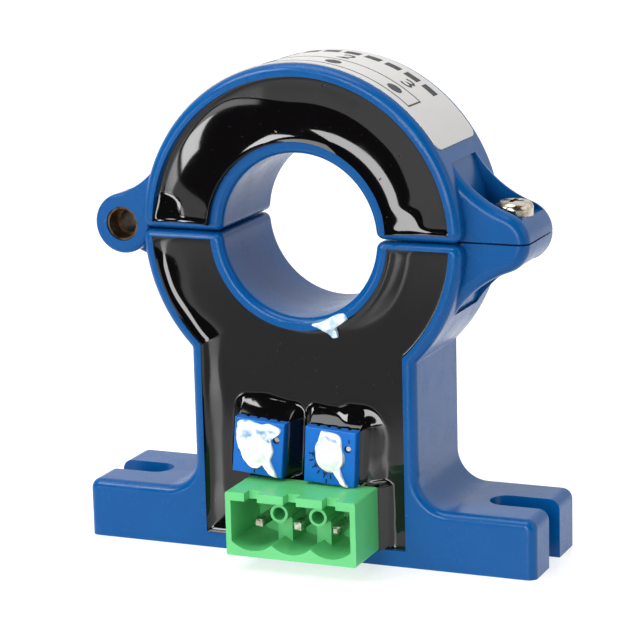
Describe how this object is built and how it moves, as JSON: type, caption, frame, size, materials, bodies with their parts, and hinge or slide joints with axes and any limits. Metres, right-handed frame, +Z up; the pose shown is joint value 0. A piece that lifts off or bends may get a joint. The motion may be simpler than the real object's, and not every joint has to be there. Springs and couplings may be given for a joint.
{
  "type": "hall effect current sensor",
  "caption": "Hinged split-core current sensor with a round conductor opening, slotted feet, set-up trimmers and a plug-in terminal header.",
  "frame": {"origin": "centre of the housing's base underside", "axes": "+X to the right along the feet, +Y to the back along the conductor opening, +Z up"},
  "size_m": [0.0592, 0.0228, 0.0609],
  "materials": {
    "housing_plastic": "moulded, satin gloss",
    "potting_resin": "cast, glossy",
    "ferrite": "sintered, matte",
    "chip_plastic": "moulded, matte",
    "capacitor_ceramic": "fired, satin",
    "board_laminate": "glass laminate with solder mask",
    "trimmer_plastic": "moulded, satin",
    "rotor_plastic": "moulded",
    "header_plastic": "moulded, satin",
    "tinned_metal": "tin plated",
    "brass": "turned",
    "hinge_bronze": "turned, darkened",
    "screw_steel": "nickel plated",
    "sealant": "cured, glossy",
    "bore_glue": "cured, cloudy",
    "label_film": "printed film, satin"
  },
  "bodies": {
    "lower_half": {"lower_housing": "housing_plastic", "lower_potting": "potting_resin", "lower_core_left": "ferrite", "lower_core_right": "ferrite", "hall_element": "chip_plastic", "hall_leads": "tinned_metal", "circuit_board": "board_laminate", "amplifier_chip": "chip_plastic", "regulator_chip": "chip_plastic", "board_resistors": "chip_plastic", "board_capacitors": "capacitor_ceramic", "zero_trimmer_case": "trimmer_plastic", "zero_trimmer_rotor": "rotor_plastic", "zero_trimmer_pins": "brass", "gain_trimmer_case": "trimmer_plastic", "gain_trimmer_rotor": "rotor_plastic", "gain_trimmer_pins": "brass", "header_housing": "header_plastic", "header_pin_1": "tinned_metal", "header_pin_2": "tinned_metal", "header_pin_3": "tinned_metal", "hinge_pin": "hinge_bronze", "threaded_insert": "brass", "zero_sealant": "sealant", "gain_sealant": "sealant", "bore_glue": "bore_glue"},
    "upper_half": {"upper_housing": "housing_plastic", "upper_potting": "potting_resin", "upper_core": "ferrite", "label": "label_film"},
    "screw": {"closing_screw": "screw_steel"}
  },
  "joints": [
    {"name": "hinge", "type": "hinge", "parent": "lower_half", "child": "upper_half", "pos_m": [-0.02445, 0, 0.04], "axis": [0, -1, 0], "range_deg": [0, 110]},
    {"name": "screw_travel", "type": "slide", "parent": "upper_half", "child": "screw", "axis": [0, 0, 1], "range_m": [0, 0.005]}
  ]
}
